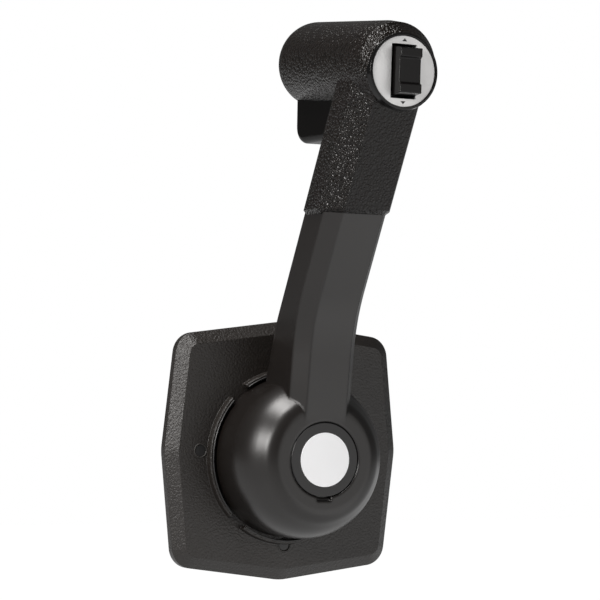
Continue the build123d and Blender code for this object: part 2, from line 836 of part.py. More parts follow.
with BuildPart() as lever_casting:
    with BuildSketch(Plane.YZ):
        with BuildLine():
            FilletPolyline(*hub_outline, radius=hub_radii, close=True)
        make_face()
    revolve(axis=Axis.Y)
    add(arm_blank.part)
    with BuildSketch(layer(0)):
        Circle(hub_radius - hub_wall)
    extrude(amount=hub_floor, taper=1.0, mode=Mode.SUBTRACT)
    with BuildSketch(layer(hub_back)):
        Circle(main_boss_radius)
    extrude(amount=hub_floor - hub_back)
    with BuildSketch(layer(hub_floor - rib_height)):
        for k in range(rib_count):
            with Locations(Rotation(0, 0, 30 + 360 * k / rib_count)):
                Rectangle(hub_radius - hub_wall, rib_thickness, align=(Align.MIN, Align.CENTER))
        Circle(main_boss_radius - 1, mode=Mode.SUBTRACT)
    extrude(amount=rib_height)
    with BuildSketch(layer(cap_recess)):
        Circle(cap_radius + cap_gap)
    extrude(amount=hub_depth, mode=Mode.SUBTRACT)
    with BuildSketch(layer(hub_depth - pry_depth)):
        with Locations((0, -cap_radius - 0.6)):
            Rectangle(pry_width, pry_height)
    extrude(amount=pry_depth + 1, mode=Mode.SUBTRACT)
    with BuildSketch(layer(hub_back - 1)):
        Circle(shaft_radius)
        with Locations((shaft_radius - 1.5, 0)):
            Rectangle(3, 2 * shaft_radius, align=(Align.MIN, Align.CENTER), mode=Mode.SUBTRACT)
    extrude(amount=cap_recess - hub_back + 2, mode=Mode.SUBTRACT)
    with BuildSketch(lean_plane(rod_tip_height)):
        Circle(rod_radius + 2 * running_clearance)
    extrude(amount=(arm_top - rod_tip_height) / lean_cos + 4, mode=Mode.SUBTRACT)
    with BuildSketch(Plane.YZ):
        with BuildLine():
            Polyline(
                (-arm_back_depth(tab_bottom) + 3, tab_bottom - 0.6),
                (-rod_depth(tab_bottom) - tab_reach - 0.5, tab_bottom - 0.6),
                (-rod_depth(arm_top + 2) - tab_reach - 0.5, arm_top + 2),
                (-arm_back_depth(arm_top) + 3, arm_top + 2),
                close=True,
            )
        make_face()
    extrude(amount=tab_half_width + 0.5, both=True, mode=Mode.SUBTRACT)
lever_casting.part.label = "lever_casting"
export_step(lever_casting.part, "parts/lever_casting.step")

# Grip cover: cross bar with a round wall end, and the stem that slips over the arm
bar_direction = Vector(0, -math.cos(math.radians(bar_tilt)), -math.sin(math.radians(bar_tilt)))
bar_start = Plane(origin=(0, -bar_wall_end, bar_axis_height), x_dir=(1, 0, 0), z_dir=bar_direction)
bar_length = (trim_depth - bar_wall_end) / math.cos(math.radians(bar_tilt)) - bar_end_taper
trim_plane = Plane(
    origin=(0, -trim_depth, trim_height),
    x_dir=(1, 0, 0),
    z_dir=(0, -math.cos(math.radians(trim_tilt)), -math.sin(math.radians(trim_tilt))),
)
taper_start = bar_start.offset(bar_length).origin
taper_plane = Plane(
    origin=taper_start + (trim_plane.origin - taper_start) * taper_share + Vector(0, 0, taper_lift),
    x_dir=(1, 0, 0),
    z_dir=trim_plane.z_dir + bar_direction,
)
stem_skin = grip_wall / lean_cos


def stem_face(grow, bottom, top):
    """Sketch the straight stem's side view, grown all round by an amount."""
    skin = grow / lean_cos
    with BuildSketch(Plane.YZ) as side:
        with BuildLine():
            Polyline(
                (-arm_back_depth(bottom) + skin, bottom),
                (-arm_back_depth(top) + skin, top),
                (-arm_front_depth(top) - skin, top),
                (-arm_front_depth(bottom) - skin, bottom),
                close=True,
            )
        make_face()
    return side.sketch


def cut_front_corners(stem, along_side, along_front):
    """Chamfer both long front edges of a stem that is under construction."""
    for side in (0, -1):
        side_face = stem.faces().sort_by(Axis.X)[side]
        long_edges = side_face.edges().filter_by(Axis((0, 0, 0), lean_up)).sort_by(Axis.Y)
        chamfer(long_edges[:1], length=along_side, length2=along_front, reference=side_face)


with BuildPart() as stem_blank:
    add(extrude(stem_face(grip_wall, arm_mouth, stem_top), amount=arm_half_width + grip_wall, both=True))
    cut_front_corners(stem_blank, arm_chamfer + stem_side_growth, arm_front_chamfer + stem_front_growth)
    back_edges = stem_blank.edges().filter_by(Axis((0, 0, 0), lean_up)).sort_by(Axis.Y)[-2:]
    fillet(back_edges, grip_back_radius)
    chamfer(stem_blank.faces().sort_by(Axis.Z)[0].edges(), stem_lip)

with BuildPart() as stem_pocket:
    add(extrude(stem_face(0.1, arm_mouth - 2, arm_top + fit_gap), amount=arm_half_width + 0.1, both=True))
    cut_front_corners(stem_pocket, arm_chamfer, arm_front_chamfer)

with BuildPart() as grip_cover:
    with BuildSketch(bar_start):
        Circle(bar_radius)
    extrude(amount=bar_length)
    fillet(grip_cover.faces().sort_by(Axis.Y)[-1].edges(), bar_cap_radius)
    with BuildSketch(bar_start.offset(bar_length)):
        Circle(bar_radius)
    with BuildSketch(taper_plane):
        Circle(bar_taper_radius)
    with BuildSketch(trim_plane):
        Circle(bar_end_radius)
    loft(ruled=True)
    add(stem_blank.part)
    with BuildSketch(trim_plane):
        Rectangle(4 * bar_radius, 6 * bar_radius)
    extrude(amount=bar_radius, mode=Mode.SUBTRACT)
    add(stem_pocket.part, mode=Mode.SUBTRACT)
    with BuildSketch(trim_plane.offset(-trim_thickness)):
        Circle(trim_radius + 0.2)
    extrude(amount=trim_thickness + 1, mode=Mode.SUBTRACT)
    with BuildSketch(trim_plane.offset(-switch_depth)):
        Circle(switch_radius)
    extrude(amount=switch_depth, mode=Mode.SUBTRACT)
    with BuildSketch(Plane.YZ):
        with BuildLine():
            Polyline(
                (-trigger_wall_side + 0.6, 190),
                (-trigger_wall_side + 0.6, pocket_top),
                (-arm_back_depth(pocket_top) + stem_skin, pocket_top),
                (-arm_back_depth(190) + stem_skin, 190),
                close=True,
            )
        make_face()
    extrude(amount=trigger_half_width + 0.5, both=True, mode=Mode.SUBTRACT)
    with BuildSketch(Plane.YZ):
        with BuildLine():
            Polyline(
                (-arm_back_depth(tab_bottom) + stem_skin + 1, tab_bottom - 0.6),
                (-rod_depth(tab_bottom) - tab_reach - 0.5, tab_bottom - 0.6),
                (-rod_depth(tab_slot_top) - tab_reach - 0.5, tab_slot_top),
                (-arm_back_depth(tab_slot_top) + stem_skin + 1, tab_slot_top),
                close=True,
            )
        make_face()
    extrude(amount=tab_half_width + 0.5, both=True, mode=Mode.SUBTRACT)
grip_cover.part.label = "grip_cover"
export_step(grip_cover.part, "parts/grip_cover.step")

# Trim switch in the end of the bar: disc, body, rocker, pin and return springs
opening_width = rocker_width + 2 * opening_clearance
opening_height = rocker_height + 2 * opening_clearance
with BuildPart() as switch_plate:
    with BuildSketch(trim_plane.offset(-trim_thickness)):
        Circle(trim_radius)
        Rectangle(opening_width, opening_height, mode=Mode.SUBTRACT)
    extrude(amount=trim_thickness)
switch_plate.part.label = "switch_plate"
export_step(switch_plate.part, "parts/switch_plate.step")

rocker_side = Plane(origin=trim_plane.origin, x_dir=trim_plane.y_dir, z_dir=trim_plane.x_dir)
pin_centre = trim_plane.origin - trim_plane.z_dir * rocker_pin_sink
pin_plane = Plane(origin=pin_centre, x_dir=trim_plane.y_dir, z_dir=trim_plane.x_dir)
pocket_floor = rocker_depth + 4.5
with BuildPart() as switch_body:
    with BuildSketch(trim_plane.offset(-switch_depth + 0.5)):
        Circle(switch_radius - 0.15)
    extrude(amount=switch_depth - 0.5 - trim_thickness)
    with BuildSketch(trim_plane.offset(-pocket_floor)):
        Rectangle(opening_width, opening_height)
    extrude(amount=pocket_floor, mode=Mode.SUBTRACT)
    with BuildSketch(pin_plane):
        Circle(rocker_pin_radius)
    extrude(amount=opening_width / 2 + 2.4, both=True, mode=Mode.SUBTRACT)
switch_body.part.label = "switch_body"
export_step(switch_body.part, "parts/switch_body.step")

with BuildPart() as rocker_pin:
    with BuildSketch(pin_plane):
        Circle(rocker_pin_radius)
    extrude(amount=opening_width / 2 + 2.2, both=True)
rocker_pin.part.label = "rocker_pin"
export_step(rocker_pin.part, "parts/rocker_pin.step")

half_rocker = rocker_height / 2 - 0.2
pad_foot = half_rocker - rocker_pad
with BuildPart() as trim_rocker:
    with BuildSketch(rocker_side):
        with BuildLine():
            Polyline(
                (-half_rocker + 1.5, -rocker_depth),
                (-half_rocker, -0.5),
                (-half_rocker + 1.2, rocker_pad_rise),
                (-pad_foot - 1.0, rocker_pad_rise),
                (-pad_foot, rocker_middle_rise),
                (pad_foot, rocker_middle_rise),
                (pad_foot + 1.0, rocker_pad_rise),
                (half_rocker - 1.2, rocker_pad_rise),
                (half_rocker, -0.5),
                (half_rocker - 1.5, -rocker_depth),
                close=True,
            )
        make_face()
        with Locations((0, -rocker_pin_sink)):
            Circle(rocker_pin_radius + running_clearance, mode=Mode.SUBTRACT)
    extrude(amount=rocker_width / 2, both=True)
trim_rocker.part.label = "trim_rocker"
export_step(trim_rocker.part, "parts/trim_rocker.step")

with BuildPart() as rocker_springs:
    for side in (-1, 1):
        spring_foot = trim_plane.origin - trim_plane.z_dir * pocket_floor + trim_plane.y_dir * 8.0 * side
        spring_seat = Plane(origin=spring_foot, x_dir=(1, 0, 0), z_dir=trim_plane.z_dir)
        add(coil(spring_seat, 1.8, 0.6, pocket_floor - rocker_depth - 0.1, 2))
rocker_springs.part.label = "rocker_springs"
export_step(rocker_springs.part, "parts/rocker_springs.step")

# Lock trigger: finger bar under the wall end of the bar, with a tab into the arm
with BuildPart() as lock_trigger:
    with BuildSketch(Plane.YZ):
        with BuildLine():
            FilletPolyline(
                (-trigger_wall_side, trigger_top),
                (-trigger_wall_side, trigger_bottom),
                (-arm_back_depth(trigger_bottom) + stem_skin + trigger_gap, trigger_bottom),
                (-arm_back_depth(trigger_top) + stem_skin + trigger_gap, trigger_top),
                radius=[0, trigger_corner, 0, 0],
                close=True,
            )
        make_face()
    extrude(amount=trigger_half_width, both=True)
    finger_edges = lock_trigger.edges().filter_by(
        lambda edge: abs(abs(edge.center().X) - trigger_half_width) < 0.01
        and edge.center().Z < trigger_top - 0.1
        and -edge.center().Y < arm_back_depth(edge.center().Z) - stem_skin - 4
    )
    fillet(finger_edges, trigger_edge_radius)
    with BuildSketch(Plane.YZ):
        with BuildLine():
            Polyline(
                (-arm_back_depth(tab_bottom) + stem_skin + 2, tab_bottom),
                (-rod_depth(tab_bottom) - tab_reach, tab_bottom),
                (-rod_depth(tab_top) - tab_reach, tab_top),
                (-arm_back_depth(tab_top) + stem_skin + 2, tab_top),
                close=True,
            )
        make_face()
    extrude(amount=tab_half_width, both=True)
    with BuildSketch(lean_plane(tab_bottom - 3)):
        Circle(rod_radius)
    extrude(amount=14, mode=Mode.SUBTRACT)
    with BuildSketch(spring_plane):
        Circle(spring_pocket_radius)
    extrude(amount=40, mode=Mode.SUBTRACT)
lock_trigger.part.label = "lock_trigger"
export_step(lock_trigger.part, "parts/lock_trigger.step")

with BuildPart() as lock_rod:
    with BuildSketch(lean_plane(rod_tip_height)):
        Circle(rod_radius)
    extrude(amount=(tab_top - rod_tip_height) / lean_cos - 0.6)
lock_rod.part.label = "lock_rod"
export_step(lock_rod.part, "parts/lock_rod.step")

trigger_spring = coil(spring_plane, spring_pocket_radius - 1.0, 0.9, spring_length, 3)
trigger_spring.label = "trigger_spring"
export_step(trigger_spring, "parts/trigger_spring.step")

# Hub cap and the parts that it pushes through the shaft
cap_back = hub_depth - cap_thickness
with BuildPart() as hub_cap:
    with BuildSketch(layer(cap_back)):
        Circle(cap_radius)
    extrude(amount=cap_thickness)
    chamfer(hub_cap.faces().sort_by(Axis.Y)[0].edges(), cap_edge)
    with BuildSketch(layer(hub_depth - disc_thickness)):
        Circle(disc_radius)
    extrude(amount=disc_thickness + 1, mode=Mode.SUBTRACT)
    with BuildSketch(layer(hub_depth - pry_depth)):
        with Locations((0, -cap_radius - 0.6)):
            Rectangle(pry_width, pry_height)
    extrude(amount=pry_depth + 1, mode=Mode.SUBTRACT)
    with BuildSketch(layer(cap_back)):
        Circle(button_rod_radius)
    extrude(amount=2.5, mode=Mode.SUBTRACT)
hub_cap.part.label = "hub_cap"
export_step(hub_cap.part, "parts/hub_cap.step")

cap_disc = disc(disc_radius, hub_depth - disc_thickness, disc_thickness + 0.4)
cap_disc.label = "cap_disc"
export_step(cap_disc, "parts/cap_disc.step")

clutch_pin_depth = clutch_slot_front - clutch_pin_radius - 0.1
with BuildPart() as button_rod:
    with BuildSketch(layer(clutch_pin_depth - 2.4)):
        Circle(button_rod_radius)
    extrude(amount=cap_back + 2.5 - clutch_pin_depth + 2.4)
    with BuildSketch(Plane.YZ):
        with Locations((-clutch_pin_depth, 0)):
            Circle(clutch_pin_radius)
    extrude(amount=button_rod_radius + 1, both=True, mode=Mode.SUBTRACT)
button_rod.part.label = "button_rod"
export_step(button_rod.part, "parts/button_rod.step")

with BuildPart() as clutch_pin:
    with BuildSketch(Plane.YZ):
        with Locations((-clutch_pin_depth, 0)):
            Circle(clutch_pin_radius)
    extrude(amount=pinion_pitch_radius - 1.25 * gear_module - 0.6, both=True)
clutch_pin.part.label = "clutch_pin"
export_step(clutch_pin.part, "parts/clutch_pin.step")

button_spring = coil(layer(cap_recess), button_spring_radius, button_spring_wire, cap_back - cap_recess, 2)
button_spring.label = "button_spring"
export_step(button_spring, "parts/button_spring.step")

with BuildPart() as lever_nut:
    with BuildSketch(layer(cap_recess)):
        RegularPolygon(11.5, 6)
        Circle(shaft_radius - 2.0, mode=Mode.SUBTRACT)
    extrude(amount=2.6)
lever_nut.part.label = "lever_nut"
export_step(lever_nut.part, "parts/lever_nut.step")

thrust_washer = disc(main_boss_radius - 1.5, hub_back - 1.2, 1.2, bore=shaft_radius)
thrust_washer.label = "thrust_washer"
export_step(thrust_washer, "parts/thrust_washer.step")

shaft_clip = disc(rear_journal_radius + 2.4, rear_depth - 1.5, 1.2, bore=rear_journal_radius)
shaft_clip.label = "shaft_clip"
export_step(shaft_clip, "parts/shaft_clip.step")
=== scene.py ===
"""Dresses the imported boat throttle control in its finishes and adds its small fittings.

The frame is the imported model. The origin is where the lever shaft meets the wall, +Z is up and
-Y points out of the wall to the user. Names that end in _mm are in millimetres, and all other
lengths are in metres.
"""

from __future__ import annotations

import logging
import math
from collections.abc import Mapping, Sequence
from dataclasses import dataclass, field
from enum import Enum

import bmesh
import bpy
from mathutils import Matrix, Vector


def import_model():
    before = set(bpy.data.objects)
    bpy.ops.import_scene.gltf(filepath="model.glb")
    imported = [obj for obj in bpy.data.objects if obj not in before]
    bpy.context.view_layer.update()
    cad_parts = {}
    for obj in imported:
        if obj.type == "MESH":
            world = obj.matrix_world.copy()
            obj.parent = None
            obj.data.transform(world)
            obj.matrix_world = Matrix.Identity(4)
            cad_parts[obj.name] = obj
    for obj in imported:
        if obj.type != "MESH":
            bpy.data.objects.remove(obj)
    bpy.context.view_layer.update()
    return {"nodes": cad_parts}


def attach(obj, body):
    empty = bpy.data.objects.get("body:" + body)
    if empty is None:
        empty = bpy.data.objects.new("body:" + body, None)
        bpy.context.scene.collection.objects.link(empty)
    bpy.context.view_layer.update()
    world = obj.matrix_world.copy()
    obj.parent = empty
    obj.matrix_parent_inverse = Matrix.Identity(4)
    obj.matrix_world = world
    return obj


LOG = logging.getLogger("throttle_control")
MM = 0.001
FULL_TURN = 2.0 * math.pi

# Points (out, up) in millimetres, in order round a closed section
Section = tuple[tuple[float, float], ...]

# Points of a spun mesh that lie closer together than this are one point
MERGE_MM = 1e-4
# Faces that meet at a larger angle than this keep a sharp edge
SHARP_DEG = 35.0
# The numbers of a Mix node's colour sockets, whose names its other sockets share
MIX_FACTOR, MIX_FIRST, MIX_SECOND, MIX_RESULT = 0, 6, 7, 2
# The slow mottle of every finish: its width in grains, its octaves and their strength
MOTTLE_GRAINS, MOTTLE_DETAIL, MOTTLE_ROUGHNESS = 14.0, 3.0, 0.6
# The octaves of a grain, of a die cast skin, and their strength
GRAIN_DETAIL, CAST_DETAIL, GRAIN_ROUGHNESS = 2.0, 4.0, 0.55
# Grinding marks are long along the shaft's axis
GROUND_STRETCH = (1.0, 0.12, 1.0)
# Pebbles wander by a share of their size: that share, and the scale and octaves of the wander
PEBBLE_WANDER, PEBBLE_WANDER_SCALE, PEBBLE_WANDER_DETAIL = 0.6, 0.6, 1.0
# How far pebbles melt together, and where in its cell a pebble's crown ends and its crease lies
PEBBLE_SMOOTHNESS, PEBBLE_CROWN, PEBBLE_CREASE = 0.35, 0.15, 0.75
# The rays that find a nearby edge, to shade it as rounded
EDGE_SAMPLES = 8


def linear(hex_colour: str) -> tuple[float, float, float, float]:
    """Turn an sRGB hex colour into the linear colour that shaders use, by the sRGB curve.

    Args:
        hex_colour: six hex digits.

    Returns:
        The linear red, green, blue and an alpha of 1.
    """
    values = [int(hex_colour[i:i + 2], 16) / 255.0 for i in (0, 2, 4)]
    red, green, blue = (
        value / 12.92 if value <= 0.04045 else ((value + 0.055) / 1.055) ** 2.4
        for value in values
    )
    return red, green, blue, 1.0


def add_node(
    tree: bpy.types.NodeTree,
    kind: str,
    settings: Mapping[str | int, object] | None = None,
    links: Mapping[str | int, bpy.types.NodeSocket] | None = None,
) -> bpy.types.Node:
    """Add a node, give it its settings and link its inputs.

    Args:
        tree: the node tree that gets the node.
        kind: the node's type name.
        settings: values by property name, or by the name or number of an input.
        links: sockets by the name or number of the input that each one feeds.

    Returns:
        The new node.
    """
    node = tree.nodes.new(kind)
    for key, value in (settings or {}).items():
        if isinstance(key, str) and hasattr(node, key):
            setattr(node, key, value)
        else:
            node.inputs[key].default_value = value
    for key, socket in (links or {}).items():
        tree.links.new(socket, node.inputs[key])
    return node


def empty_tree(owner: bpy.types.Material | bpy.types.World) -> bpy.types.NodeTree:
    """Give a material or a world a node tree with nothing in it.

    Args:
        owner: the material or world.

    Returns:
        Its node tree.
    """
    owner.use_nodes = True
    owner.node_tree.nodes.clear()
    return owner.node_tree


def ray_share(tree: bpy.types.NodeTree, shares: Mapping[str, float]) -> bpy.types.NodeSocket:
    """Add the nodes that give each kind of ray its share.

    Args:
        tree: the node tree that gets the nodes.
        shares: the share by the name of the Light Path output.

    Returns:
        The largest share among the kinds that the ray is of, or 0.
    """
    path = add_node(tree, "ShaderNodeLightPath")
    largest = None
    for ray, share in shares.items():
        part = add_node(
            tree, "ShaderNodeMath", {"operation": "MULTIPLY", 1: share}, {0: path.outputs[ray]}
        )
        if largest is not None:
            part = add_node(
                tree, "ShaderNodeMath", {"operation": "MAXIMUM"}, {0: largest, 1: part.outputs[0]}
            )
        largest = part.outputs[0]
    return largest


def add_object(name: str, data: bpy.types.ID) -> bpy.types.Object:
    """Add an object to the scene.

    Args:
        name: the object's name.
        data: its mesh, lamp or camera.

    Returns:
        The new object.
    """
    made = bpy.data.objects.new(name, data)
    bpy.context.scene.collection.objects.link(made)
    return made


class Pattern(Enum):
    """How a surface's fine texture was made."""

    MOULD_GRAIN = "spark eroded mould grain"
    PEBBLED = "embossed leather pebble"
    ORANGE_PEEL = "sprayed enamel"
    BLASTED = "bead blasted"
    CAST = "die cast skin"
    GROUND = "ground"
    SMOOTH = "smooth, as polished or drawn"


@dataclass(frozen=True)
class Finish:
    """One real material and the way that its surface was made.

    Attributes:
        name: the material's name.
        colour: the colour at one end of the mottle, in sRGB hex.
        second_colour: the colour at its other end.
        roughness: the roughness in the middle of the mottle.
        pattern: how the fine texture was made.
        pattern_mm: the width of one grain, pebble or mark.
        relief_mm: how deep the texture is.
        metallic: 0 for plastic and paint, 1 for bare metal.
        roughness_spread: how far the mottle moves the roughness each way.
        specular: how strongly a surface that is no metal reflects.
        edge_mm: the radius at which edges are shaded as rounded, or 0.
        crease: how much painted shade darkens the low places, from 0 to 1.
    """

    name: str
    colour: str
    second_colour: str
    roughness: float
    pattern: Pattern
    pattern_mm: float
    relief_mm: float
    metallic: float = 0.0
    roughness_spread: float = 0.08
    specular: float = 0.5
    edge_mm: float = 0.0
    crease: float = 0.0

    def pebbles(
        self, tree: bpy.types.NodeTree, place: bpy.types.NodeSocket, scale: float
    ) -> bpy.types.NodeSocket:
        """Add the nodes of embossed pebbles that wander out of their rows.

        Args:
            tree: the material's node tree.
            place: the place on the object.
            scale: the pebbles in a metre.

        Returns:
            The height, 1 on a pebble's crown and 0 in a crease.
        """
        wander = add_node(
            tree,
            "ShaderNodeTexNoise",
            {"Scale": scale * PEBBLE_WANDER_SCALE, "Detail": PEBBLE_WANDER_DETAIL},
            {"Vector": place},
        )
        moved = add_node(
            tree,
            "ShaderNodeVectorMath",
            {"operation": "MULTIPLY_ADD", 1: (PEBBLE_WANDER * self.pattern_mm * MM,) * 3},
            {0: wander.outputs["Color"], 2: place},
        )
        cells = add_node(
            tree,
            "ShaderNodeTexVoronoi",
            {"feature": "SMOOTH_F1", "Scale": scale, "Smoothness": PEBBLE_SMOOTHNESS},
            {"Vector": moved.outputs[0]},
        )
        height = add_node(
            tree,
            "ShaderNodeMapRange",
            {"From Min": PEBBLE_CROWN, "From Max": PEBBLE_CREASE, "To Min": 1.0, "To Max": 0.0},
            {"Value": cells.outputs["Distance"]},
        )
        return height.outputs[0]

    def grain(
        self, tree: bpy.types.NodeTree, place: bpy.types.NodeSocket, scale: float
    ) -> bpy.types.NodeSocket:
        """Add the nodes of a grain, which grinding draws out into marks.

        Args:
            tree: the material's node tree.
            place: the place on the object.
            scale: the grains in a metre.

        Returns:
            The height, from 0 to 1.
        """
        if self.pattern is Pattern.GROUND:
            drawn_out = add_node(
                tree, "ShaderNodeMapping", {"Scale": GROUND_STRETCH}, {"Vector": place}
            )
            place = drawn_out.outputs[0]
        detail = CAST_DETAIL if self.pattern is Pattern.CAST else GRAIN_DETAIL
        height = add_node(
            tree,
            "ShaderNodeTexNoise",
            {"Scale": scale, "Detail": detail, "Roughness": GRAIN_ROUGHNESS},
            {"Vector": place},
        )
        return height.outputs[0]

    def material(self) -> bpy.types.Material:
        """Make the finish's material, or give the one made before.

        Returns:
            The material.
        """
        made = bpy.data.materials.get(self.name)
        if made is not None:
            return made
        made = bpy.data.materials.new(self.name)
        tree = empty_tree(made)
        place = add_node(tree, "ShaderNodeTexCoord").outputs["Object"]
        scale = 1.0 / (self.pattern_mm * MM)
        mottle = add_node(
            tree,
            "ShaderNodeTexNoise",
            {
                "Scale": scale / MOTTLE_GRAINS,
                "Detail": MOTTLE_DETAIL,
                "Roughness": MOTTLE_ROUGHNESS,
            },
            {"Vector": place},
        ).outputs[0]
        relief = self.pebbles if self.pattern is Pattern.PEBBLED else self.grain
        height = relief(tree, place, scale)
        colour = add_node(
            tree,
            "ShaderNodeMix",
            {
                "data_type": "RGBA",
                MIX_FIRST: linear(self.colour),
                MIX_SECOND: linear(self.second_colour),
            },
            {MIX_FACTOR: mottle},
        )
        # Painted shade: the colour darkens in the pattern's low places, by the crease share
        shaded = add_node(
            tree,
            "ShaderNodeMix",
            {"data_type": "RGBA", "blend_type": "MULTIPLY", MIX_FACTOR: self.crease},
            {MIX_FIRST: colour.outputs[MIX_RESULT], MIX_SECOND: height},
        )
        rough = add_node(
            tree,
            "ShaderNodeMapRange",
            {
                "To Min": self.roughness - self.roughness_spread,
                "To Max": self.roughness + self.roughness_spread,
            },
            {"Value": mottle},
        )
        bump = add_node(
            tree,
            "ShaderNodeBump",
            {"Strength": 1.0, "Distance": self.relief_mm * MM},
            {"Height": height},
        )
        if self.edge_mm > 0.0:
            rounded = add_node(
                tree, "ShaderNodeBevel", {"samples": EDGE_SAMPLES, "Radius": self.edge_mm * MM}
            )
            tree.links.new(rounded.outputs[0], bump.inputs["Normal"])
        shader = add_node(
            tree,
            "ShaderNodeBsdfPrincipled",
            {"Metallic": self.metallic, "Specular IOR Level": self.specular},
            {
                "Base Color": shaded.outputs[MIX_RESULT],
                "Roughness": rough.outputs[0],
                "Normal": bump.outputs[0],
            },
        )
        add_node(tree, "ShaderNodeOutputMaterial", None, {"Surface": shader.outputs[0]})
        return made


# Moulded ABS with a spark eroded grain: grey sparkle on a dull black, with painted shade in the
# grain's low places. The grain is drawn coarser than it is, so that it shows
GRAINED_ABS = Finish(
    "grained_black_abs", "1B1714", "231E1A", roughness=0.42,
    pattern=Pattern.MOULD_GRAIN, pattern_mm=1.3, relief_mm=0.40, edge_mm=0.7, crease=0.5,
)
# Sprayed enamel on an aluminium casting: soft wide highlights on smooth black
SATIN_ENAMEL = Finish(
    "satin_black_enamel", "110E0C", "15110F", roughness=0.33, roughness_spread=0.03,
    pattern=Pattern.ORANGE_PEEL, pattern_mm=2.4, relief_mm=0.008, edge_mm=2.4,
)
# Embossed soft vinyl: every pebble glints, and painted shade darkens the creases
PEBBLED_VINYL = Finish(
    "pebbled_black_vinyl", "130F0C", "1B1613", roughness=0.19, specular=0.23,
    pattern=Pattern.PEBBLED, pattern_mm=1.4, relief_mm=0.48, edge_mm=1.0, crease=0.6,
)
# ABS from a polished mould: deep black with sharp small highlights
POLISHED_ABS = Finish(
    "polished_black_abs", "090909", "0E0D0D", roughness=0.16, roughness_spread=0.03,
    specular=0.28, pattern=Pattern.SMOOTH, pattern_mm=3.0, relief_mm=0.003, edge_mm=0.5,
)
# The trigger's ABS: the deepest black, with faint soft highlights
JET_ABS = Finish(
    "jet_black_abs", "060505", "0A0908", roughness=0.30, roughness_spread=0.03,
    specular=0.08, pattern=Pattern.SMOOTH, pattern_mm=3.0, relief_mm=0.003, edge_mm=0.8,
)
# The rocker's ABS: polished, with rounded edges that catch the light
ROCKER_ABS = Finish(
    "rocker_black_abs", "090707", "0D0B0B", roughness=0.18, roughness_spread=0.03,
    specular=0.22, pattern=Pattern.SMOOTH, pattern_mm=3.0, relief_mm=0.003, edge_mm=1.0,
)
# ABS from a lightly blasted mould: even satin. Its grain is drawn coarser than it is
SATIN_ABS = Finish(
    "satin_black_abs", "131212", "181717", roughness=0.40, roughness_spread=0.03,
    pattern=Pattern.BLASTED, pattern_mm=0.7, relief_mm=0.008, edge_mm=0.4,
)
# Filled white polycarbonate: flat bright white
WHITE_POLYCARBONATE = Finish(
    "white_polycarbonate", "FCFDFF", "F8F9FB", roughness=0.35, roughness_spread=0.03,
    pattern=Pattern.SMOOTH, pattern_mm=4.0, relief_mm=0.002,
)
# Clear anodised aluminium, blasted first: pale grey with a frosty grain, which is drawn coarser
# than it is, so that it shows
ANODISED_ALUMINIUM = Finish(
    "anodised_aluminium", "EAEAEA", "DEDEDE", roughness=0.42, roughness_spread=0.04,
    metallic=0.45, pattern=Pattern.BLASTED, pattern_mm=1.0, relief_mm=0.06, edge_mm=0.25,
)
# Acetal: waxy off white bearing plastic
ACETAL = Finish(
    "natural_acetal", "DCD8CC", "D2CEC2", roughness=0.42,
    pattern=Pattern.SMOOTH, pattern_mm=3.0, relief_mm=0.004,
)
# Glass filled nylon: dull grey with a faint fibre mottle
FILLED_NYLON = Finish(
    "grey_filled_nylon", "4A4B4D", "3F4042", roughness=0.55,
    pattern=Pattern.MOULD_GRAIN, pattern_mm=0.9, relief_mm=0.02, edge_mm=0.3,
)
# Die cast aluminium: dull silver with the cold flow skin of the die
DIE_CAST_ALUMINIUM = Finish(
    "die_cast_aluminium", "B4B5B6", "A2A3A5", roughness=0.50, metallic=0.9,
    pattern=Pattern.CAST, pattern_mm=1.6, relief_mm=0.03, edge_mm=0.5,
)
# Zinc plated steel: bright grey with a faint yellow bloom
ZINC_PLATED_STEEL = Finish(
    "zinc_plated_steel", "C0C0BC", "AFAFA4", roughness=0.34, metallic=1.0,
    pattern=Pattern.GROUND, pattern_mm=0.7, relief_mm=0.006, edge_mm=0.25,
)
# Ground steel: bare grey with fine marks along the shaft's axis
GROUND_STEEL = Finish(
    "ground_steel", "A6A7A9", "949597", roughness=0.28, metallic=1.0,
    pattern=Pattern.GROUND, pattern_mm=0.6, relief_mm=0.006, edge_mm=0.2,
)
# Oil tempered spring wire: dark grey and smooth
SPRING_WIRE = Finish(
    "spring_wire", "7C7D80", "6C6D70", roughness=0.32, metallic=1.0,
    pattern=Pattern.SMOOTH, pattern_mm=1.0, relief_mm=0.004,
)
# Free turning brass: warm yellow with fine marks along the shaft's axis
TURNED_BRASS = Finish(
    "turned_brass", "C9A45A", "B8934C", roughness=0.27, metallic=1.0,
    pattern=Pattern.GROUND, pattern_mm=0.6, relief_mm=0.006,
)
# Screen printed ink on the metal: flat dark grey
PRINTING_INK = Finish(
    "printing_ink", "2A2A2B", "303031", roughness=0.55,
    pattern=Pattern.SMOOTH, pattern_mm=1.0, relief_mm=0.001,
)

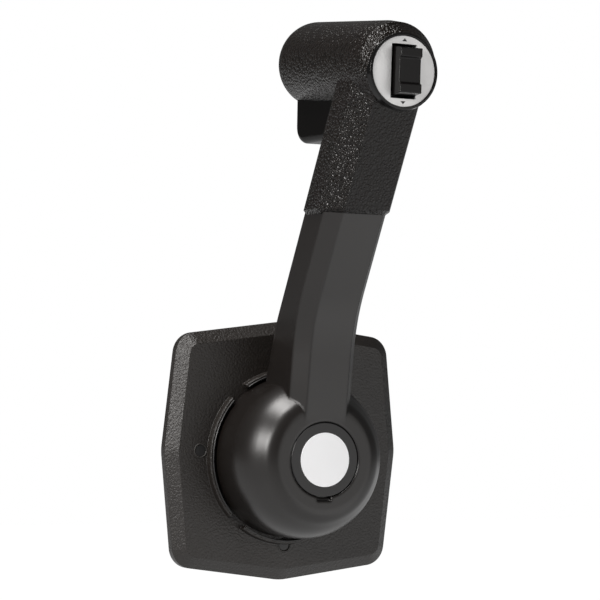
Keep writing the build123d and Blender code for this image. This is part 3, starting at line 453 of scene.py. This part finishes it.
NODE_FINISHES: dict[str, Finish] = {
    "mounting_plate": GRAINED_ABS,
    # The plugs' satin ABS is darker than the plate's: partly their own finish, partly painted shade
    # for their recesses
    "hole_plugs": SATIN_ABS,
    "front_frame": DIE_CAST_ALUMINIUM,
    "rear_frame": DIE_CAST_ALUMINIUM,
    "frame_screws": ZINC_PLATED_STEEL,
    "front_bush": ACETAL,
    "rear_bush": ACETAL,
    "sector_bushes": ACETAL,
    "lock_gate": GROUND_STEEL,
    "gate_screws": ZINC_PLATED_STEEL,
    "detent_wheel": GROUND_STEEL,
    "detent_ball": GROUND_STEEL,
    "detent_plug": ZINC_PLATED_STEEL,
    "detent_spring": SPRING_WIRE,
    "neutral_switch": FILLED_NYLON,
    "main_shaft": GROUND_STEEL,
    "drive_pinion": GROUND_STEEL,
    "shift_sector": GROUND_STEEL,
    "throttle_sector": GROUND_STEEL,
    "shift_shaft": GROUND_STEEL,
    "throttle_shaft": GROUND_STEEL,
    "shift_arm": ZINC_PLATED_STEEL,
    "throttle_arm": ZINC_PLATED_STEEL,
    "shift_nut": ZINC_PLATED_STEEL,
    "throttle_nut": ZINC_PLATED_STEEL,
    "lever_casting": SATIN_ENAMEL,
    "grip_cover": PEBBLED_VINYL,
    "switch_plate": ANODISED_ALUMINIUM,
    "switch_body": FILLED_NYLON,
    "rocker_pin": GROUND_STEEL,
    "trim_rocker": ROCKER_ABS,
    "rocker_springs": SPRING_WIRE,
    "lock_trigger": JET_ABS,
    "lock_rod": GROUND_STEEL,
    "trigger_spring": SPRING_WIRE,
    "hub_cap": SATIN_ABS,
    "cap_disc": WHITE_POLYCARBONATE,
    "button_rod": TURNED_BRASS,
    "clutch_pin": GROUND_STEEL,
    "button_spring": SPRING_WIRE,
    "lever_nut": ZINC_PLATED_STEEL,
    "thrust_washer": ACETAL,
    "shaft_clip": SPRING_WIRE,
}


@dataclass
class Piece:
    """A new piece while it is being modelled, in its own local axes in millimetres.

    Attributes:
        name: the object's name.
        body: the name of the body that the piece moves with.
        finish: what it is made of.
        material_slot: the frame's name for that kind of material; not used.
        place: the matrix from its local axes to the frame, in metres.
        mesh: its shape so far.
    """

    name: str
    body: str
    finish: Finish
    material_slot: str
    place: Matrix
    mesh: bmesh.types.BMesh = field(default_factory=bmesh.new)

    def spin_section(
        self, section: Section, radius: float, height: float, steps: int, turn: float = FULL_TURN
    ) -> None:
        """Spin a closed section about the local Z axis, and close the ends of a part turn.

        Args:
            section: its points, out from the radius and up from the height.
            radius: the radius in millimetres that the section starts from.
            height: the height in millimetres that it starts from.
            steps: the number of steps in the turn.
            turn: the angle of the turn in radians, starting at the local X axis.
        """
        corners = [self.mesh.verts.new((radius + out, 0.0, height + up)) for out, up in section]
        outline = self.mesh.faces.new(corners)
        geometry = [*outline.edges, *outline.verts]
        bmesh.ops.delete(self.mesh, geom=[outline], context="FACES_ONLY")
        full = math.isclose(turn, FULL_TURN)
        bmesh.ops.spin(
            self.mesh,
            geom=geometry,
            axis=(0, 0, 1),
            cent=(0, 0, 0),
            steps=steps,
            angle=turn,
            use_merge=full,
            use_duplicate=False,
        )
        if full:
            bmesh.ops.remove_doubles(self.mesh, verts=self.mesh.verts, dist=MERGE_MM)
        else:
            ends = [edge for edge in self.mesh.edges if edge.is_boundary]
            bmesh.ops.holes_fill(self.mesh, edges=ends, sides=0)

    def prism(self, corners: Sequence[tuple[float, float]], low: float, high: float) -> None:
        """Extrude a flat outline along the local Z axis.

        Args:
            corners: (x, y) points in millimetres, anticlockwise.
            low: the height of the outline in millimetres.
            high: the height of the extruded end in millimetres.
        """
        base = self.mesh.faces.new([self.mesh.verts.new((x, y, low)) for x, y in corners])
        raised = bmesh.ops.extrude_face_region(self.mesh, geom=[base])
        moved = [item for item in raised["geom"] if isinstance(item, bmesh.types.BMVert)]
        bmesh.ops.translate(self.mesh, verts=moved, vec=(0, 0, high - low))

    def build(self) -> None:
        """Make the object with its place in its mesh, dress it and let it ride on its body."""
        bmesh.ops.recalc_face_normals(self.mesh, faces=self.mesh.faces)
        to_frame = self.place @ Matrix.Scale(MM, 4)
        bmesh.ops.transform(self.mesh, matrix=to_frame, verts=self.mesh.verts)
        data = bpy.data.meshes.new(self.name)
        self.mesh.to_mesh(data)
        self.mesh.free()
        data.shade_smooth()
        data.set_sharp_from_angle(angle=math.radians(SHARP_DEG))
        data.materials.append(self.finish.material())
        made = add_object(self.name, data)
        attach(made, self.body)
        LOG.info("piece %s rides on %s with %d faces", self.name, self.body, len(data.polygons))


def facing_user(depth_mm: float, x_mm: float = 0.0, z_mm: float = 0.0) -> Matrix:
    """Give the local axes of a piece that faces the user, with local Z out of the wall.

    Args:
        depth_mm: the distance of the local origin in front of the wall.
        x_mm: the local origin's place to the right.
        z_mm: the local origin's height.

    Returns:
        The matrix from local axes to the frame, in metres.
    """
    axes = Matrix(((1, 0, 0), (0, 0, -1), (0, 1, 0))).to_4x4()
    return Matrix.Translation((x_mm * MM, -depth_mm * MM, z_mm * MM)) @ axes


@dataclass
class TrimSwitch:
    """The round switch in the end of the bar: bezel ring and printed marks."""

    centre_depth_mm: float = 142.2
    centre_height_mm: float = 212.1
    tilt_deg: float = 1.5
    disc_radius_mm: float = 19.3
    # From the disc's edge and face: the lip over the disc, the crown, and the flared skirt
    bezel_section_mm: Section = (
        (-0.25, 0.03), (-0.13, 0.42), (0.15, 0.70), (1.10, 0.63), (1.40, 0.42),
        (1.50, 0.0), (2.20, -2.40), (1.70, -2.40), (1.00, 0.0),
    )
    bezel_steps: int = 128
    # The marks stand above and below the disc's centre, with their tips outwards
    mark_offset_mm: float = 16.9
    mark_half_width_mm: float = 1.5
    mark_tip_mm: float = 0.9
    mark_foot_mm: float = 0.75
    ink_mm: float = 0.06

    def place(self) -> Matrix:
        """Give the axes of the disc: local Y up the disc and local Z out of it."""
        tilt = Matrix.Rotation(math.radians(self.tilt_deg), 4, "X")
        return facing_user(self.centre_depth_mm, z_mm=self.centre_height_mm) @ tilt

    def bezel(self) -> None:
        """Build the thin dark ring that holds the disc's edge."""
        ring = Piece("trim_bezel", "lever", POLISHED_ABS, "gloss_black", self.place())
        ring.spin_section(self.bezel_section_mm, self.disc_radius_mm, 0.0, self.bezel_steps)
        ring.build()

    def marks(self) -> None:
        """Build the two plain triangles that show which way the rocker drives."""
        half = self.mark_half_width_mm
        for name, way in (("trim_mark_up", 1.0), ("trim_mark_down", -1.0)):
            mark = Piece(name, "lever", PRINTING_INK, "gloss_black", self.place())
            tip = way * (self.mark_offset_mm + self.mark_tip_mm)
            foot = way * (self.mark_offset_mm - self.mark_foot_mm)
            corners = [(-half, foot), (half, foot), (0.0, tip)]
            mark.prism(corners if way > 0 else corners[::-1], 0.0, self.ink_mm)
            mark.build()

    def build(self) -> None:
        """Build every piece of the switch."""
        self.bezel()
        self.marks()


@dataclass
class PlateFittings:
    """The small mouldings of the mounting plate: the collar's lip and the rims of the plugs."""

    plate_depth_mm: float = 10.4
    collar_radius_mm: float = 48.3
    collar_height_mm: float = 4.5
    # The notches lie this far above and below the horizontal, and the lip stops short of them
    notch_deg: float = 49.0
    notch_length_mm: float = 11.0
    notch_margin_deg: float = 0.6
    # From the collar's inner edge and top
    lip_section_mm: Section = (
        (0.0, -0.2), (0.7, -0.2), (0.65, 0.05), (0.25, 0.4), (0.1, 0.4), (0.0, 0.3),
    )
    lip_steps: int = 40
    plug_count: int = 4
    plug_circle_radius_mm: float = 54.6
    plug_circle_height_mm: float = 3.4
    plug_radius_mm: float = 3.25
    # From the plug's edge and the plate's face
    rim_section_mm: Section = (
        (0.05, -0.45), (0.1, 0.12), (0.5, 0.3), (1.0, 0.12), (1.2, -0.05),
    )
    rim_steps: int = 48

    def collar_lip(self) -> None:
        """Build the thin lip on the collar's inner edge, one piece between two notches."""
        half_notch = math.degrees(self.notch_length_mm / 2.0 / self.collar_radius_mm)
        gap = half_notch + self.notch_margin_deg
        notch = self.notch_deg
        starts = [notch, 180.0 - notch, 180.0 + notch, 360.0 - notch]
        stops = [*starts[1:], starts[0] + 360.0]
        for number, (start, stop) in enumerate(zip(starts, stops), 1):
            first, last = start + gap, stop - gap
            turned = Matrix.Rotation(math.radians(first), 4, "Z")
            place = facing_user(self.plate_depth_mm) @ turned
            lip = Piece(f"collar_lip_{number}", "base", SATIN_ABS, "black_plastic", place)
            lip.spin_section(
                self.lip_section_mm,
                self.collar_radius_mm,
                self.collar_height_mm,
                self.lip_steps,
                math.radians(last - first),
            )
            lip.build()

    def plug_rims(self) -> None:
        """Build the rolled rim round each plug."""
        for number in range(self.plug_count):
            angle = FULL_TURN * number / self.plug_count
            place = facing_user(
                self.plate_depth_mm,
                self.plug_circle_radius_mm * math.cos(angle),
                self.plug_circle_height_mm + self.plug_circle_radius_mm * math.sin(angle),
            )
            rim = Piece(f"plug_rim_{number + 1}", "base", GRAINED_ABS, "black_plastic", place)
            rim.spin_section(self.rim_section_mm, self.plug_radius_mm, 0.0, self.rim_steps)
            rim.build()

    def build(self) -> None:
        """Build every fitting of the plate."""
        self.collar_lip()
        self.plug_rims()


@dataclass(frozen=True)
class Softbox:
    """A square lamp that points at the object.

    Attributes:
        name: the lamp's name.
        way: the direction from the object to the lamp.
        away: the distance between them.
        side: the side of the lamp's face.
        watts: its power.
    """

    name: str
    way: tuple[float, float, float]
    away: float
    side: float
    watts: float


@dataclass
class Studio:
    """Camera, lamps, floor and backdrop."""

    # The camera's place, its turns in radians, and its lens by the photograph's own pixels
    camera_place: tuple[float, float, float] = (-0.6854780, -1.3592672, 0.0479078)
    yaw: float = 0.4745079
    pitch: float = 0.0286354
    roll: float = 0.0180673
    focal_px: float = 2600.0
    photo_px: float = 600.0
    sensor_mm: float = 36.0
    nearest_seen: float = 0.01
    # What the lamps point at, and their slightly warm white
    target: tuple[float, float, float] = (0.0, -0.07, 0.08)
    lamp_colour: tuple[float, float, float] = (1.0, 0.982, 0.965)
    softboxes: tuple[Softbox, ...] = (
        Softbox("left_softbox", (-0.875, -0.350, 0.300), away=1.1, side=0.37, watts=10.8),
        Softbox("top_softbox", (-0.360, -0.090, 0.939), away=1.1, side=0.40, watts=12.0),
        Softbox("right_panel", (0.48, -0.86, 0.08), away=2.4, side=2.0, watts=10.4),
        Softbox("low_panel", (0.46, -0.58, -0.62), away=0.85, side=0.7, watts=1.0),
    )
    # The world's light on the object, and the share of its white that reflections show
    room_level: float = 0.09
    room_mirrored: float = 0.06
    # The floor lies well below the plate and reaches this far each way
    floor_height: float = -0.55
    floor_reach: float = 8.0
    # The paper's faint mottle between two whites, in waves to a metre, and its matt surface
    paper_colour: str = "FFFFFF"
    paper_second_colour: str = "FAFAFA"
    paper_waves: float = 60.0
    paper_detail: float = 2.0
    paper_roughness: float = 0.9
    paper_specular: float = 0.1
    # The paper's own white, and the shares of it that the camera and reflections see
    paper_white: float = 1.15
    paper_seen: float = 0.9
    paper_mirrored: float = 0.7

    def camera(self) -> None:
        """Add the camera at the photograph's place and angle."""
        forward = Vector((
            math.sin(self.yaw) * math.cos(self.pitch),
            math.cos(self.yaw) * math.cos(self.pitch),
            math.sin(self.pitch),
        ))
        level = Vector((math.cos(self.yaw), -math.sin(self.yaw), 0.0))
        above = level.cross(forward)
        right = level * math.cos(self.roll) + above * math.sin(self.roll)
        up = above * math.cos(self.roll) - level * math.sin(self.roll)
        turned = Matrix((right, up, -forward)).transposed().to_4x4()
        data = bpy.data.cameras.new("photo_camera")
        data.sensor_width = self.sensor_mm
        data.lens = self.focal_px * self.sensor_mm / self.photo_px
        data.clip_start = self.nearest_seen
        made = add_object("photo_camera", data)
        made.matrix_world = Matrix.Translation(self.camera_place) @ turned
        bpy.context.scene.camera = made

    def world(self) -> None:
        """Give the world its soft light, and a white background for what looks at it."""
        world = bpy.data.worlds.new("studio_white")
        tree = empty_tree(world)
        seen = ray_share(
            tree,
            {"Is Camera Ray": 1.0, "Is Transmission Ray": 1.0, "Is Glossy Ray": self.room_mirrored},
        )
        strength = add_node(
            tree, "ShaderNodeMapRange", {"To Min": self.room_level, "To Max": 1.0}, {"Value": seen}
        )
        back = add_node(
            tree,
            "ShaderNodeBackground",
            {"Color": linear("FFFFFF")},
            {"Strength": strength.outputs[0]},
        )
        add_node(tree, "ShaderNodeOutputWorld", None, {"Surface": back.outputs[0]})
        bpy.context.scene.world = world

    def paper(self) -> bpy.types.Material:
        """Make the floor's matt paper, which shows its own white to what looks at it.

        Returns:
            The material.
        """
        made = bpy.data.materials.new("matt_white_paper")
        tree = empty_tree(made)
        place = add_node(tree, "ShaderNodeTexCoord").outputs["Object"]
        fibre = add_node(
            tree,
            "ShaderNodeTexNoise",
            {"Scale": self.paper_waves, "Detail": self.paper_detail},
            {"Vector": place},
        )
        tone = add_node(
            tree,
            "ShaderNodeMix",
            {
                "data_type": "RGBA",
                MIX_FIRST: linear(self.paper_colour),
                MIX_SECOND: linear(self.paper_second_colour),
            },
            {MIX_FACTOR: fibre.outputs[0]},
        ).outputs[MIX_RESULT]
        matt = add_node(
            tree,
            "ShaderNodeBsdfPrincipled",
            {"Roughness": self.paper_roughness, "Specular IOR Level": self.paper_specular},
            {"Base Color": tone},
        )
        glow = add_node(
            tree, "ShaderNodeEmission", {"Strength": self.paper_white}, {"Color": tone}
        )
        seen = ray_share(
            tree, {"Is Camera Ray": self.paper_seen, "Is Glossy Ray": self.paper_mirrored}
        )
        lit = add_node(
            tree, "ShaderNodeMixShader", None, {0: seen, 1: matt.outputs[0], 2: glow.outputs[0]}
        )
        add_node(tree, "ShaderNodeOutputMaterial", None, {"Surface": lit.outputs[0]})
        return made

    def floor(self) -> None:
        """Lay a plain pale floor well below the plate."""
        mesh = bmesh.new()
        bmesh.ops.create_grid(mesh, x_segments=1, y_segments=1, size=self.floor_reach)
        bmesh.ops.translate(mesh, verts=mesh.verts, vec=(0.0, 0.0, self.floor_height))
        data = bpy.data.meshes.new("studio_floor")
        mesh.to_mesh(data)
        mesh.free()
        data.materials.append(self.paper())
        add_object("studio_floor", data)

    def lamp(self, softbox: Softbox) -> None:
        """Add a square lamp that points at the object.

        Args:
            softbox: the lamp's place, size and power.
        """
        data = bpy.data.lights.new(softbox.name, "AREA")
        data.size = softbox.side
        data.energy = softbox.watts
        data.color = self.lamp_colour
        direction = Vector(softbox.way).normalized()
        made = add_object(softbox.name, data)
        made.location = Vector(self.target) + direction * softbox.away
        made.rotation_euler = direction.to_track_quat("Z", "Y").to_euler()

    def build(self) -> None:
        """Build the studio."""
        self.camera()
        self.world()
        self.floor()
        for softbox in self.softboxes:
            self.lamp(softbox)


def dress_nodes(nodes: Mapping[str, bpy.types.Object]) -> None:
    """Give every CAD node its finish.

    Args:
        nodes: the frame's objects by node name.
    """
    for name, finish in NODE_FINISHES.items():
        data = nodes[name].data
        data.materials.clear()
        data.materials.append(finish.material())
        LOG.info("node %s is %s, %s", name, finish.name, finish.pattern.value)


def main() -> None:
    """Load the frame, build each sub-assembly's pieces and the studio, and note the sizes."""
    logging.basicConfig(level=logging.INFO, format="%(message)s")
    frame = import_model()
    bpy.context.scene.view_settings.view_transform = "Standard"
    dress_nodes(frame["nodes"])
    for assembly in (PlateFittings(), TrimSwitch(), Studio()):
        assembly.build()
    bpy.context.view_layer.update()


if __name__ == "__main__":
    main()
